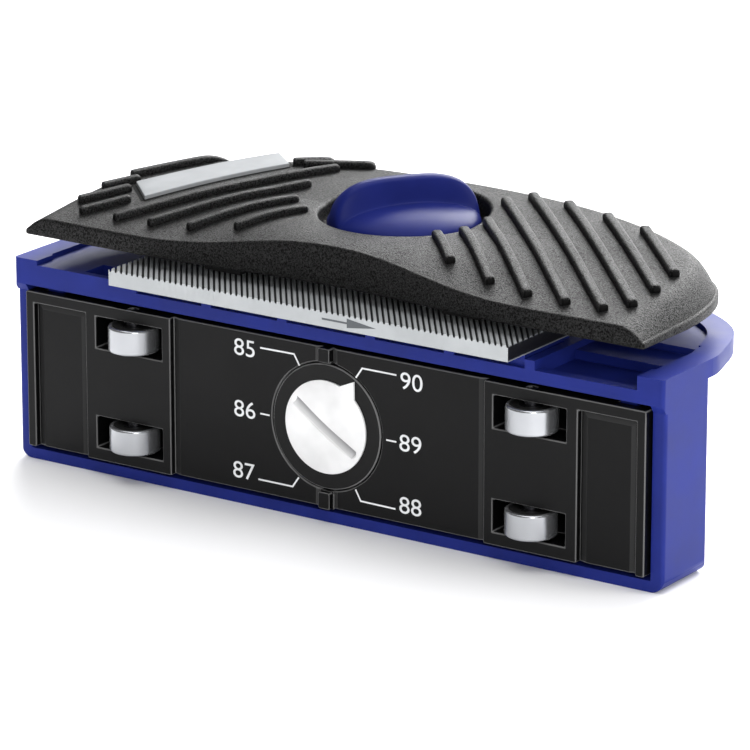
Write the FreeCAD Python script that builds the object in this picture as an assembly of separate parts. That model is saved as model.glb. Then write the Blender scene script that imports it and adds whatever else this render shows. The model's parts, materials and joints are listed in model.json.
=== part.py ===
"""Edge beveler: a roller guide that holds a file at 85 to 90 degrees to a ski base.

Millimetres, +Z up. X runs along the tool, -Y is the face with the rollers, and Z = 0 is the bottom face.
The origin is the centre of the bottom face.
"""

import FreeCAD
import Part
import math
import os

V = FreeCAD.Vector
os.makedirs("parts", exist_ok=True)

# Housing
HALF_LENGTH = 81.5
BODY_DEPTH = 16.8
FRONT = -BODY_DEPTH / 2
BACK = BODY_DEPTH / 2
WALL_TOP = 45.2
FLOOR = 44.2
SHELF_UNDER = 41.4
BAND_PROUD = 1.1
BAND_LOW = 39.5
RIM_WIDTH = 5.5
CORNER_R = 0.8
FOOT_R = 3.0
OPENING_HALF = 78.5
OPENING_LOW = 2.4
CAVITY_DEPTH = 14.3
POST_X = (11.1, 30.5, 50.0)
POST_HALF = 1.2
NOTCH_DROP = 2.0
SEAT_TOP = 45.3

# Angle plate
PLATE_HALF = 78.0
PLATE_LOW = 3.5
PLATE_TOP = 38.4
PLATE_FACE = FRONT - 0.8
PLATE_BACK = FRONT + 2.2
RAISE = 1.1
RAMP_DEEP = 0.55
RAMP_WIDE = 1.8
TAB_HALF = 1.45
WINDOW_X = (41.8, 59.2)
BLOCK_X = (39.5, 62.0)
MARGIN_X = 75.8
FRAME_LOW = 35.9
WINDOW_Z = ((28.6, 35.6), (6.4, 13.4))
HINGE_Y = FRONT + 3.2
HINGE_Z = 36.3
HINGE_PIN_R = 1.3

# Rollers
ROLLER_X = 50.2
ROLLER_Y = FRONT - 0.3
ROLLER_R = 5.5
ROLLER_H = 5.6
AXLE_R = 1.0
INNER_R = 2.2
RACE_R = 4.45
BALL_R = 0.8
BALL_COUNT = 8
BALL_TRACK = 3.62

# Dial
DIAL_Z = 21.2
DIAL_R = 13.6
DIAL_BORE = 13.9
HUB_R = 6.0
CAP_R = 10.1
CAP_RIM = 0.45
CAP_RISE = 0.85
SLOT_R = 1.15
SLOT_SINK = 0.2
SLOT_HALF = 8.2
POINTER_ANGLE = 33.0
POINTER_TIP = 13.1
CAM_R = 11.5
CAM_STEP = 0.40
STUD_Z = DIAL_Z - 9.0
STUD_R = 1.5
STEPS = 6

# File and clamp
FILE_LENGTH = 100.0
FILE_WIDTH = 25.0
FILE_THICK = 3.4
FILE_X = -0.8
FILE_FRONT = FRONT - 8.0
TOOTH_PITCH = 1.42
TOOTH_DEPTH = 0.4
TOOTH_LEAN = 0.73
KNOB_Y = FRONT + 28.0
SCREW_R = 3.0
HANDLE_LOW = 51.2
HANDLE_HALF = 77.5
HANDLE_FRONT = -2.4
SCALLOP = 3.0
SCALLOP_HALF = 48.0
HANDLE_WALL = 3.0
DISH_R = 17.8
DISH_FLOOR = 57.0
KNOB_R = 16.3
KNOB_LOW = 57.7
WING_TOP = 69.0
WING_HALF = 2.8
WING_END = 63.2
DOME_RISE = 4.8
HEAD_LOW = 58.4
HEAD_TOP = 61.4
WING_ANGLE = 54.0
RIB_W = 2.4
RIB_PROUD = 1.5


def box(x0, x1, y0, y1, z0, z1):
    return Part.makeBox(x1 - x0, y1 - y0, z1 - z0, V(x0, y0, z0))


def both_sides(shape):
    return [shape, shape.mirror(V(0, 0, 0), V(1, 0, 0))]


def rod_z(x, y, z0, z1, r):
    return Part.makeCylinder(r, z1 - z0, V(x, y, z0), V(0, 0, 1))


def rod_y(x, z, y0, y1, r):
    return Part.makeCylinder(r, y1 - y0, V(x, y0, z), V(0, 1, 0))


def rod_x(y, z, x0, x1, r):
    return Part.makeCylinder(r, x1 - x0, V(x0, y, z), V(1, 0, 0))


def tube_z(x, y, z0, z1, r_out, r_in):
    return rod_z(x, y, z0, z1, r_out).cut(rod_z(x, y, z0 - 1, z1 + 1, r_in))


def fuse(shapes):
    return shapes[0].multiFuse(shapes[1:])


def polygon(points):
    return Part.Face(Part.makePolygon(points + points[:1]))


def save(name, shapes):
    solids = []
    for shape in shapes if isinstance(shapes, list) else [shapes]:
        solids.extend(shape.Solids)
    shape = solids[0] if len(solids) == 1 else Part.makeCompound(solids)
    shape.exportStep("parts/" + name + ".step")


def leaf_side(half, side_end, tip, inset):
    """Points of the right edge, moved in by inset, from the straight side's end to the middle of the back."""
    corner, mid, back = tip
    points = [
        V(half, side_end, 0),
        V(half - 1.2, side_end + 6.0, 0),
        V(corner[0], corner[1], 0),
        V(mid[0], mid[1], 0),
        V(mid[0] * 0.56, back - 3.0, 0),
        V(0, back, 0),
    ]
    moved = []
    for i, point in enumerate(points):
        along = points[min(i + 1, len(points) - 1)] - points[max(i - 1, 0)]
        if i == 0:
            along = V(0, 1, 0)
        if i == len(points) - 1:
            along = V(-1, 0, 0)
        outward = V(along.y, -along.x, 0).normalize()
        moved.append(V(point.x, FRONT + point.y, 0) - outward * inset)
    return moved


def leaf_face(half, front_y, side_end, tip, scallop, inset):
    """A leaf outline: straight front and ends, and a back that curves round to the ends."""
    right = leaf_side(half, side_end, tip, inset)
    left = [V(-p.x, p.y, 0) for p in reversed(right[:-1])]
    curve = Part.BSplineCurve()
    curve.interpolate(Points=right + left, InitialTangent=V(0, 1, 0), FinalTangent=V(0, -1, 0))
    front = FRONT + front_y + inset
    end = half - inset
    r = CORNER_R if inset == 0 else 1.0
    edges = [curve.toShape()]
    for side in (1, -1):
        edges.append(Part.makeLine(V(side * end, right[0].y, 0), V(side * end, front + r, 0)))
        middle = V(side * (end - 0.2929 * r), front + 0.2929 * r, 0)
        arc = Part.Arc(V(side * end, front + r, 0), middle, V(side * (end - r), front, 0))
        edges.append(arc.toShape())
    if scallop:
        dip = Part.BSplineCurve()
        dip.interpolate(
            Points=[V(-SCALLOP_HALF, front, 0), V(0, front + scallop, 0), V(SCALLOP_HALF, front, 0)],
            InitialTangent=V(1, 0, 0),
            FinalTangent=V(1, 0, 0),
        )
        edges += [
            Part.makeLine(V(-end + r, front, 0), V(-SCALLOP_HALF, front, 0)),
            dip.toShape(),
            Part.makeLine(V(SCALLOP_HALF, front, 0), V(end - r, front, 0)),
        ]
    else:
        edges.append(Part.makeLine(V(-end + r, front, 0), V(end - r, front, 0)))
    return Part.Face(Part.Wire(Part.__sortEdges__(edges)))


def prism(face, z0, z1):
    lifted = face.copy()
    lifted.translate(V(0, 0, z0))
    return lifted.extrude(V(0, 0, z1 - z0))


SHELF_TIP = ((75.6, 36.4), (65.0, 45.8), 58.0)
HANDLE_TIP = ((71.7, 36.0), (62.0, 44.6), 57.0)


def shelf_face(inset=0.0):
    return leaf_face(HALF_LENGTH, -BAND_PROUD, 18.0, SHELF_TIP, 0.0, inset)


def handle_face(inset=0.0):
    return leaf_face(HANDLE_HALF, HANDLE_FRONT, 16.0, HANDLE_TIP, SCALLOP, inset)


def palm_height(x, y):
    """Height of the handle's top, y measured back from the front of the body."""
    rise = 1.0 - ((50.0 - y) / 50.0) ** 2
    ends = 1.0 - 0.45 * (abs(x) / 75.0) ** 3
    base = 55.7 + 6.8 * rise * ends
    away = max(0.0, math.hypot(x, y - 28.0) - 18.5)
    return base + max(0.0, 60.8 - base) * math.exp(-(away / 18.0) ** 2)


def above_palm(lift):
    """Everything above the palm surface raised by lift."""
    grid = []
    for i in range(45):
        x = -88.0 + 4.0 * i
        row = []
        for j in range(20):
            y = -8.0 + 4.0 * j
            row.append(V(x, FRONT + y, palm_height(x, y) + lift))
        grid.append(row)
    surface = Part.BSplineSurface()
    surface.interpolate(grid)
    return surface.toShape().extrude(V(0, 0, 30))


def rounded_rectangle(x, y0, y1, r):
    edges = []
    for y in (y0, y1):
        edges.append(Part.makeLine(V(-x + r, y, 0), V(x - r, y, 0)))
    for side in (1, -1):
        edges.append(Part.makeLine(V(side * x, y0 + r, 0), V(side * x, y1 - r, 0)))
        for y, inward in ((y0, 1), (y1, -1)):
            middle = V(side * (x - 0.2929 * r), y + inward * 0.2929 * r, 0)
            arc = Part.Arc(V(side * x, y + inward * r, 0), middle, V(side * (x - r), y, 0))
            edges.append(arc.toShape())
    return Part.Face(Part.Wire(Part.__sortEdges__(edges)))


def make_housing():
    shelf = prism(shelf_face(), SHELF_UNDER, WALL_TOP)
    body = prism(rounded_rectangle(HALF_LENGTH, FRONT, BACK, CORNER_R), 0, SHELF_UNDER)
    band = polygon([
        V(-HALF_LENGTH, FRONT - BAND_PROUD, SHELF_UNDER),
        V(-HALF_LENGTH, FRONT - BAND_PROUD, BAND_LOW),
        V(-HALF_LENGTH, FRONT, BAND_LOW - 1.6),
        V(-HALF_LENGTH, FRONT + 4, BAND_LOW - 1.6),
        V(-HALF_LENGTH, FRONT + 4, SHELF_UNDER),
    ]).extrude(V(2 * HALF_LENGTH, 0, 0))
    band = band.common(prism(shelf_face(), 30, 50))
    web = polygon([
        V(-HALF_LENGTH + 3, BACK - 1, SHELF_UNDER - 3.6),
        V(-HALF_LENGTH + 3, BACK, SHELF_UNDER - 3.6),
        V(-HALF_LENGTH + 3, BACK + 1.2, SHELF_UNDER - 1.2),
        V(-HALF_LENGTH + 3, BACK + 3.8, SHELF_UNDER + 0.2),
        V(-HALF_LENGTH + 3, BACK - 1, SHELF_UNDER + 0.2),
    ]).extrude(V(2 * HALF_LENGTH - 6, 0, 0))
    boss = rod_z(0, KNOB_Y, 34.6, SHELF_UNDER + 1, 9.0)
    boss_arm = box(-4, 4, BACK - 1, KNOB_Y - 5, 35.4, SHELF_UNDER + 1)
    solid = fuse([body, shelf, band, web, boss, boss_arm])

    cuts = [prism(shelf_face(RIM_WIDTH), FLOOR, WALL_TOP + 2)]
    cuts.append(box(-OPENING_HALF, OPENING_HALF, FRONT - 3, FRONT + CAVITY_DEPTH, OPENING_LOW, BAND_LOW))
    cuts.append(box(-75.3, 75.3, FRONT - 3, FRONT + 6, FLOOR, WALL_TOP + 2))
    marks = [-POST_X[2], -POST_X[1], -POST_X[0], POST_X[0], POST_X[1], POST_X[2], 76.5]
    for left, right in zip(marks[:-1], marks[1:]):
        x0 = left + POST_HALF
        x1 = right - POST_HALF
        cuts.append(box(x0, x1, FRONT - 3, FRONT + 2.2, FLOOR - NOTCH_DROP, WALL_TOP + 2))
    cuts.append(box(51.2, 75.3, FRONT + 1.4, FRONT + 14.4, 40.8, WALL_TOP))
    cuts.append(box(51.2, 75.3, FRONT + 14, FRONT + 24, 42.8, WALL_TOP))
    cuts.append(box(-63.7, -51.2, FRONT + 0.6, FRONT + 7.2, 40.8, WALL_TOP))
    for left, right in zip(marks[:5], marks[1:6]):
        cuts.append(box(left + POST_HALF, right - POST_HALF, FRONT + 1.4, FRONT + 14, 41.8, WALL_TOP))
    cuts.append(rod_z(0, KNOB_Y, 30, WALL_TOP, SCREW_R + 0.25))
    nut = Part.Face(Part.makePolygon(hexagon(5.05, 34.0)))
    cuts.append(nut.extrude(V(0, 0, 5.3)))
    foot = HALF_LENGTH - FOOT_R
    corner = box(foot, HALF_LENGTH + 1, FRONT - 1, BACK + 1, -1, FOOT_R)
    cuts += both_sides(corner.cut(rod_y(foot, FOOT_R, FRONT - 2, BACK + 2, FOOT_R)))
    solid = solid.cut(cuts)

    adds = []
    for x in (-46.0, -20.8, 20.8, 46.0):
        adds.append(box(x - 2, x + 2, FRONT + 0.2, FRONT + 17, FLOOR - 3, SEAT_TOP))
    adds.append(box(-44, 44, FILE_FRONT + FILE_WIDTH + 0.15, FILE_FRONT + FILE_WIDTH + 2.0, FLOOR - 1, 47.0))
    for lug in both_sides(box(70.2, 74.0, FRONT + 1.2, FRONT + CAVITY_DEPTH + 1, HINGE_Z - 3, BAND_LOW + 1)):
        adds.append(lug)
    solid = fuse([solid] + adds)
    holes = both_sides(rod_x(HINGE_Y, HINGE_Z, 69.5, 75.0, HINGE_PIN_R + 0.05))
    holes.append(rod_y(0, STUD_Z, FRONT + 10, BACK - 1.0, STUD_R))
    return solid.cut(holes)


def hexagon(across_half, z):
    reach = across_half / math.cos(math.pi / 6)
    points = []
    for i in range(7):
        a = math.radians(60 * i + 30)
        points.append(V(reach * math.cos(a), KNOB_Y + reach * math.sin(a), z))
    return points


def ramp_x(wall, end, z0, z1):
    """A cutter for the shallow groove at a wall's foot: deepest at the wall, and out at the recess's face."""
    points = [V(wall, PLATE_FACE - 3, z0), V(wall, PLATE_FACE + RAMP_DEEP, z0)]
    points += [V(end, PLATE_FACE, z0), V(end, PLATE_FACE - 3, z0)]
    return polygon(points).extrude(V(0, 0, z1 - z0))


def ramp_z(wall, end, x0, x1):
    points = [V(x0, PLATE_FACE - 3, wall), V(x0, PLATE_FACE + RAMP_DEEP, wall)]
    points += [V(x0, PLATE_FACE, end), V(x0, PLATE_FACE - 3, end)]
    return polygon(points).extrude(V(x1 - x0, 0, 0))


def make_plate():
    panel = box(-PLATE_HALF, PLATE_HALF, PLATE_FACE, PLATE_BACK, PLATE_LOW, PLATE_TOP)
    adds = [box(-PLATE_HALF, PLATE_HALF, PLATE_BACK - 1, PLATE_BACK + 1.4, HINGE_Z - 1.9, PLATE_TOP)]
    raised_y = PLATE_FACE - RAISE
    adds += both_sides(box(BLOCK_X[0], BLOCK_X[1], raised_y, PLATE_FACE + 1, PLATE_LOW, PLATE_TOP))
    adds += both_sides(box(MARGIN_X, PLATE_HALF, raised_y, PLATE_FACE + 1, PLATE_LOW, PLATE_TOP))
    adds += both_sides(box(BLOCK_X[1] - 1, PLATE_HALF, raised_y, PLATE_FACE + 1, FRAME_LOW, PLATE_TOP))
    tabs = ((PLATE_LOW - 0.1, DIAL_Z - DIAL_BORE - 0.2), (DIAL_Z + DIAL_BORE + 0.2, PLATE_TOP))
    for z0, z1 in tabs:
        adds.append(box(-TAB_HALF, TAB_HALF, raised_y - 0.1, PLATE_FACE + 1, z0, z1))
    left, right = WINDOW_X
    for z0, z1 in WINDOW_Z:
        adds += both_sides(box(left - 1.6, right + 1.6, PLATE_BACK - 1, FRONT + 6.6, z0 - 2, z1 + 1.9))
    adds.append(rod_y(0, DIAL_Z, PLATE_BACK - 1, FRONT + 4.4, 11.6))
    solid = fuse([panel] + adds)
    cuts = []
    low = PLATE_LOW - 1
    cuts += both_sides(ramp_x(BLOCK_X[0], BLOCK_X[0] - RAMP_WIDE, low, PLATE_TOP + 1))
    cuts += both_sides(ramp_x(BLOCK_X[1], BLOCK_X[1] + RAMP_WIDE, low, FRAME_LOW))
    cuts += both_sides(ramp_x(MARGIN_X, MARGIN_X - RAMP_WIDE, low, FRAME_LOW))
    cuts += both_sides(ramp_z(FRAME_LOW, FRAME_LOW - 1.5, BLOCK_X[1], MARGIN_X))
    for z0, z1 in tabs:
        cuts += both_sides(ramp_x(TAB_HALF, TAB_HALF + RAMP_WIDE - 0.5, z0 - 1, z1 + 1))
    for z0, z1 in WINDOW_Z:
        cuts += both_sides(box(WINDOW_X[0], WINDOW_X[1], FRONT - 4, FRONT + 5.4, z0, z1))
    cuts += both_sides(rod_z(ROLLER_X, ROLLER_Y, PLATE_LOW + 1.2, PLATE_TOP + 1, AXLE_R))
    cuts.append(rod_y(0, DIAL_Z, FRONT - 4, FRONT + 1.2, DIAL_BORE))
    cuts.append(rod_y(0, DIAL_Z, FRONT - 4, FRONT + 6, HUB_R + 0.05))
    cuts += both_sides(box(69.9, 74.3, FRONT + 0.9, FRONT + 9, HINGE_Z - 3.6, PLATE_TOP + 1))
    cuts.append(rod_y(0, DIAL_Z + 9.2, FRONT + 0.5, FRONT + 4.0, 1.3))
    solid = solid.cut(cuts)
    lugs = both_sides(box(65.6, 69.8, PLATE_BACK - 1, FRONT + 5.6, HINGE_Z - 2.6, PLATE_TOP - 0.2))
    solid = fuse([solid] + lugs)
    return solid.cut(both_sides(rod_x(HINGE_Y, HINGE_Z, 64.0, 75.5, HINGE_PIN_R)))


def sector(r, a0, a1, y0, y1):
    """A wedge round the dial axis; angles run clockwise from the top, seen from the front."""
    points = [V(0, y0, DIAL_Z)]
    steps = 8
    for i in range(steps + 1):
        a = math.radians(a0 + (a1 - a0) * i / steps)
        points.append(V(r * math.sin(a), y0, DIAL_Z + r * math.cos(a)))
    return polygon(points).extrude(V(0, y1 - y0, 0))


def make_dial():
    face = PLATE_FACE - 0.1
    disc = rod_y(0, DIAL_Z, face, FRONT + 1.1, DIAL_R)
    disc = disc.makeFillet(0.4, [e for e in disc.Edges if abs(e.BoundBox.YMax - face) < 0.01])
    hub = rod_y(0, DIAL_Z, FRONT + 1.0, FRONT + 8.6, HUB_R)
    flats = box(-7, 7, FRONT + 4.5, FRONT + 9, DIAL_Z + 4.4, DIAL_Z + 7)
    rotor = disc.fuse(hub).cut(flats)
    rotor = rotor.cut(rod_y(0, DIAL_Z, FRONT + 3, FRONT + 9, 1.25))
    rotor = rotor.cut(rod_y(0, DIAL_Z, face - 1, face + 0.8, CAP_R - 1.5))
    dimples = []
    for i in range(STEPS):
        a = math.radians(60 * i)
        centre = V(9.2 * math.sin(a), FRONT + 1.1 + 0.8, DIAL_Z + 9.2 * math.cos(a))
        dimples.append(Part.makeSphere(1.25, centre))
    return rotor.cut(dimples).removeSplitter()


def make_cam():
    base_y = FRONT + 4.6
    top_y = FRONT + 6.6
    cam = rod_y(0, DIAL_Z, base_y, top_y, CAM_R)
    wedges = []
    for k in range(1, STEPS):
        middle = 180.0 - 60.0 * k
        wedges.append(sector(CAM_R, middle - 30, middle + 30, top_y - 0.2, top_y + CAM_STEP * k))
    cam = fuse([cam] + wedges)
    bore = rod_y(0, DIAL_Z, FRONT, FRONT + 12, HUB_R)
    bore = bore.cut(box(-7, 7, FRONT, FRONT + 12, DIAL_Z + 4.4, DIAL_Z + 7))
    return cam.cut(bore)


def make_cam_screw():
    head = rod_y(0, DIAL_Z, FRONT + 8.6, FRONT + 10.4, 3.4)
    shank = rod_y(0, DIAL_Z, FRONT + 3.4, FRONT + 8.7, 1.25)
    slot = box(-0.4, 0.4, FRONT + 9.6, FRONT + 11, DIAL_Z - 4, DIAL_Z + 4)
    return head.fuse(shank).cut(slot)


def dial_point(radius, degrees, y):
    """A point in front of the dial; degrees run clockwise from the top."""
    a = math.radians(degrees)
    return V(radius * math.sin(a), y, DIAL_Z + radius * math.cos(a))


def make_cap():
    face = PLATE_FACE - 0.1
    crown = face - CAP_RIM - CAP_RISE
    ball_r = (CAP_R ** 2 + CAP_RISE ** 2) / (2 * CAP_RISE)
    ball = Part.makeSphere(ball_r, V(0, crown + ball_r, DIAL_Z))
    disc = rod_y(0, DIAL_Z, crown - 1, face, CAP_R).common(ball)
    stem = rod_y(0, DIAL_Z, face - 0.2, face + 0.8, CAP_R - 1.5)
    rim = face - CAP_RIM
    pointer = polygon([
        dial_point(9.0, POINTER_ANGLE - 14, rim),
        dial_point(10.0, POINTER_ANGLE - 13, rim),
        dial_point(POINTER_TIP, POINTER_ANGLE, rim),
        dial_point(10.0, POINTER_ANGLE + 13, rim),
        dial_point(9.0, POINTER_ANGLE + 14, rim),
    ]).extrude(V(0, CAP_RIM, 0))
    across = dial_point(1, POINTER_ANGLE + 90, 0) - V(0, 0, DIAL_Z)
    middle = V(0, crown + SLOT_SINK, DIAL_Z)
    start = middle - across * SLOT_HALF
    slot = Part.makeCylinder(SLOT_R, 2 * SLOT_HALF, start, across)
    ends = [Part.makeSphere(SLOT_R, start), Part.makeSphere(SLOT_R, middle + across * SLOT_HALF)]
    return fuse([disc, stem, pointer]).cut(fuse([slot] + ends))


def roller_parts(x, z):
    low = z - ROLLER_H / 2
    high = z + ROLLER_H / 2
    ring = rod_z(x, ROLLER_Y, low, high, ROLLER_R)
    ring = ring.makeFillet(0.5, [e for e in ring.Edges if e.BoundBox.ZLength < 0.01])
    ring = ring.cut(rod_z(x, ROLLER_Y, low - 1, high + 1, RACE_R - 0.3))
    ring = ring.cut(rod_z(x, ROLLER_Y, low - 1, low + 0.55, RACE_R + 0.2))
    ring = ring.cut(rod_z(x, ROLLER_Y, high - 0.55, high + 1, RACE_R + 0.2))
    groove = Part.makeTorus(BALL_TRACK, BALL_R + 0.04, V(x, ROLLER_Y, z), V(0, 0, 1))
    ring = ring.cut(groove)
    inner = tube_z(x, ROLLER_Y, low, high, INNER_R + 0.25, AXLE_R).cut(groove)
    spacers = [
        tube_z(x, ROLLER_Y, low - 0.7, low, AXLE_R + 0.6, AXLE_R),
        tube_z(x, ROLLER_Y, high, high + 0.7, AXLE_R + 0.6, AXLE_R),
    ]
    shields = [
        tube_z(x, ROLLER_Y, low + 0.15, low + 0.55, RACE_R + 0.2, INNER_R + 0.35),
        tube_z(x, ROLLER_Y, high - 0.55, high - 0.15, RACE_R + 0.2, INNER_R + 0.35),
    ]
    balls = []
    cage = tube_z(x, ROLLER_Y, z - 1.2, z + 1.2, BALL_TRACK + 0.28, BALL_TRACK - 0.28)
    pockets = []
    for i in range(BALL_COUNT):
        a = 2 * math.pi * i / BALL_COUNT
        out = V(math.cos(a), math.sin(a), 0)
        middle = V(x, ROLLER_Y, z)
        balls.append(Part.makeSphere(BALL_R, middle + out * BALL_TRACK))
        pockets.append(Part.makeCylinder(BALL_R + 0.05, 2.0, middle + out * (BALL_TRACK - 1.0), out))
    cage = cage.cut(pockets)
    return ring, inner, spacers, shields, balls, cage


def make_file():
    """Slanting teeth milled into the upper face of a straight blank; the lower face is plain."""
    low = SEAT_TOP
    high = SEAT_TOP + FILE_THICK
    start = FILE_X - FILE_LENGTH / 2 - 2
    count = int((FILE_LENGTH + TOOTH_LEAN * FILE_WIDTH + 6) / TOOTH_PITCH)
    top = []
    for i in range(count):
        x = start + i * TOOTH_PITCH
        for share, depth in ((0, 0), (0.52, 0), (0.62, TOOTH_DEPTH), (0.86, TOOTH_DEPTH)):
            top.append(V(x + share * TOOTH_PITCH, FILE_FRONT, high - depth))
    profile = polygon(top + [V(top[-1].x, FILE_FRONT, low), V(top[0].x, FILE_FRONT, low)])
    teeth = profile.extrude(V(-TOOTH_LEAN * FILE_WIDTH, FILE_WIDTH, 0))
    x0 = FILE_X - FILE_LENGTH / 2
    return teeth.common(box(x0, x0 + FILE_LENGTH, FILE_FRONT, FILE_FRONT + FILE_WIDTH, low - 1, high + 1))


def stadium(x0, y0, x1, y1, width, z0, z1):
    """An upright slab with round ends, running from one point to the other."""
    run = V(x1 - x0, y1 - y0, 0)
    side = V(-run.y, run.x, 0).normalize() * (width / 2)
    a = V(x0, FRONT + y0, z0)
    b = V(x1, FRONT + y1, z0)
    slab = polygon([a + side, b + side, b - side, a - side]).extrude(V(0, 0, z1 - z0))
    return fuse([slab, rod_z(a.x, a.y, z0, z1, width / 2), rod_z(b.x, b.y, z0, z1, width / 2)])


RIGHT_RIBS = (
    (26.1, 6.1, 17.8), (37.5, 3.3, 23.4), (47.4, 1.9, 32.6), (56.6, 1.7, 41.5),
    (65.2, 2.1, 47.6), (69.6, 6.2, 46.6), (70.0, 14.4, 44.0), (69.0, 23.4, 41.3),
)
LEFT_RIBS = (
    (-26.8, 4.4, 17.0), (-38.1, 3.0, 22.8), (-48.1, 2.6, 32.2), (-57.0, 2.4, 44.0),
    (-66.3, 2.8, 11.3), (-70.5, 7.8, 16.8), (-70.6, 16.3, 22.6), (-69.3, 25.0, 43.5),
)
LEFT_RUN = 0.68
SHORT_RIBS = ((-36.7, 43.8, -23.3, 49.8), (-39.9, 44.2, -33.1, 48.5))
BADGE = ((-64.6, 20.4), (-47.0, 49.0), (-39.4, 42.2), (-57.1, 13.4))


def rib_blanks():
    ribs = []
    for x, y, end in RIGHT_RIBS:
        ribs.append(stadium(x, y, x - (end - y), end, RIB_W, 54, 70))
    for x, y, end in LEFT_RIBS:
        ribs.append(stadium(x, y, x + LEFT_RUN * (end - y), end, RIB_W, 54, 70))
    for x0, y0, x1, y1 in SHORT_RIBS:
        ribs.append(stadium(x0, y0, x1, y1, RIB_W, 54, 70))
    return ribs


def make_handle():
    block = prism(handle_face(), HANDLE_LOW, 76)
    bevel = polygon([
        V(77.5, -20, 51.5),
        V(72.4, -20, 56.6),
        V(72.4, -20, 76),
        V(80, -20, 76),
        V(80, -20, 51.5),
    ])
    block = block.cut(both_sides(bevel.extrude(V(0, 80, 0))))
    shell = block.cut(above_palm(0.0))
    hollow = prism(handle_face(HANDLE_WALL), HANDLE_LOW - 1, 76).cut(above_palm(-HANDLE_WALL))
    hollow = hollow.cut(rod_z(0, KNOB_Y, 40, 80, DISH_R + 2.0))
    shell = shell.cut(hollow)
    badge_seat = badge_blank(0.3).cut(above_palm(0.0)).common(above_palm(-0.6))
    ribs = [rib.cut(above_palm(RIB_PROUD)).common(above_palm(-1.0)) for rib in rib_blanks()]
    ribs = [rib.cut(badge_blank(1.2)) for rib in ribs]
    struts = []
    for x in (-30, 30):
        strut = box(x - 5, x + 5, FRONT + 3.6, FRONT + 16, 53.0, 76).cut(above_palm(-1.0))
        struts.append(strut)
    solid = fuse([shell] + struts)
    solid = solid.cut(rod_z(0, KNOB_Y, DISH_FLOOR, 80, DISH_R))
    solid = solid.cut(rod_z(0, KNOB_Y, 40, 80, SCREW_R + 0.08))
    solid = solid.cut(rod_z(0, KNOB_Y, 40, 54.0, 6.2))
    solid = solid.cut(badge_seat)
    ribs = [rib.cut(rod_z(0, KNOB_Y, 50, 80, DISH_R)) for rib in ribs]
    return fuse([solid] + ribs)


def badge_blank(grow):
    middle_x = sum(p[0] for p in BADGE) / 4
    middle_y = sum(p[1] for p in BADGE) / 4
    points = []
    for x, y in BADGE:
        reach = math.hypot(x - middle_x, y - middle_y)
        scale = (reach + grow * 1.3) / reach
        points.append(V(middle_x + (x - middle_x) * scale, FRONT + middle_y + (y - middle_y) * scale, 50))
    return polygon(points).extrude(V(0, 0, 25))


def make_badge():
    return badge_blank(0.0).cut(above_palm(0.9)).common(above_palm(-0.6))


def make_knob():
    profile = [V(0, 0, KNOB_LOW), V(KNOB_R - 0.6, 0, KNOB_LOW), V(KNOB_R, 0, KNOB_LOW + 0.6)]
    profile.append(V(KNOB_R, 0, KNOB_LOW + 1.2))
    for i in range(1, 9):
        a = math.radians(90 * i / 8)
        profile.append(V(KNOB_R * math.cos(a), 0, KNOB_LOW + 1.2 + DOME_RISE * math.sin(a)))
    disc = polygon(profile).revolve(V(0, 0, 0), V(0, 0, 1), 360)
    half = KNOB_R + 0.4
    arc = Part.Arc(V(-half, 0, WING_END), V(0, 0, WING_TOP), V(half, 0, WING_END)).toShape()
    corners = [V(half, 0, WING_END), V(half, 0, 59.4), V(-half, 0, 59.4), V(-half, 0, WING_END)]
    foot = Part.makePolygon(corners)
    wing = Part.Face(Part.Wire([arc] + foot.Edges)).extrude(V(0, 2 * WING_HALF, 0))
    wing.translate(V(0, -WING_HALF, 0))
    crown = [e for e in wing.Edges if e.BoundBox.ZMax > 65 and e.BoundBox.XLength > 10]
    wing = wing.makeFillet(2.2, crown)
    knob = fuse([disc, wing])
    knob.rotate(V(0, 0, 0), V(0, 0, 1), WING_ANGLE)
    knob.translate(V(0, KNOB_Y, 0))
    shank = rod_z(0, KNOB_Y, 50, HEAD_LOW + 0.5, SCREW_R)
    head = rod_z(0, KNOB_Y, HEAD_LOW, HEAD_TOP, 4.6)
    return knob.cut([shank, head])


def make_clamp_screw():
    shank = rod_z(0, KNOB_Y, 30.5, HEAD_LOW + 0.5, SCREW_R)
    tip = [e for e in shank.Edges if abs(e.BoundBox.ZMax - 30.5) < 0.01]
    shank = shank.makeChamfer(0.6, tip)
    return shank.fuse(rod_z(0, KNOB_Y, HEAD_LOW, HEAD_TOP, 4.6)).removeSplitter()


def make_lift_spring():
    """A coil of square wire."""
    low = FLOOR + 0.45
    high = 54.0 - 0.45
    radius = 4.9
    half = 0.4
    helix = Part.makeHelix((high - low) / 4.0, high - low, radius)
    corners = []
    for dx, dz in ((-half, -half), (half, -half), (half, half), (-half, half), (-half, -half)):
        corners.append(V(radius + dx, 0, dz))
    section = Part.Wire(Part.makePolygon(corners).Edges)
    coil = Part.Wire(helix).makePipeShell([section], True, True)
    coil.translate(V(0, KNOB_Y, low))
    return coil


# Write the pieces
PLACES = {
    "top_left": (-ROLLER_X, sum(WINDOW_Z[0]) / 2),
    "top_right": (ROLLER_X, sum(WINDOW_Z[0]) / 2),
    "low_left": (-ROLLER_X, sum(WINDOW_Z[1]) / 2),
    "low_right": (ROLLER_X, sum(WINDOW_Z[1]) / 2),
}

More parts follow.
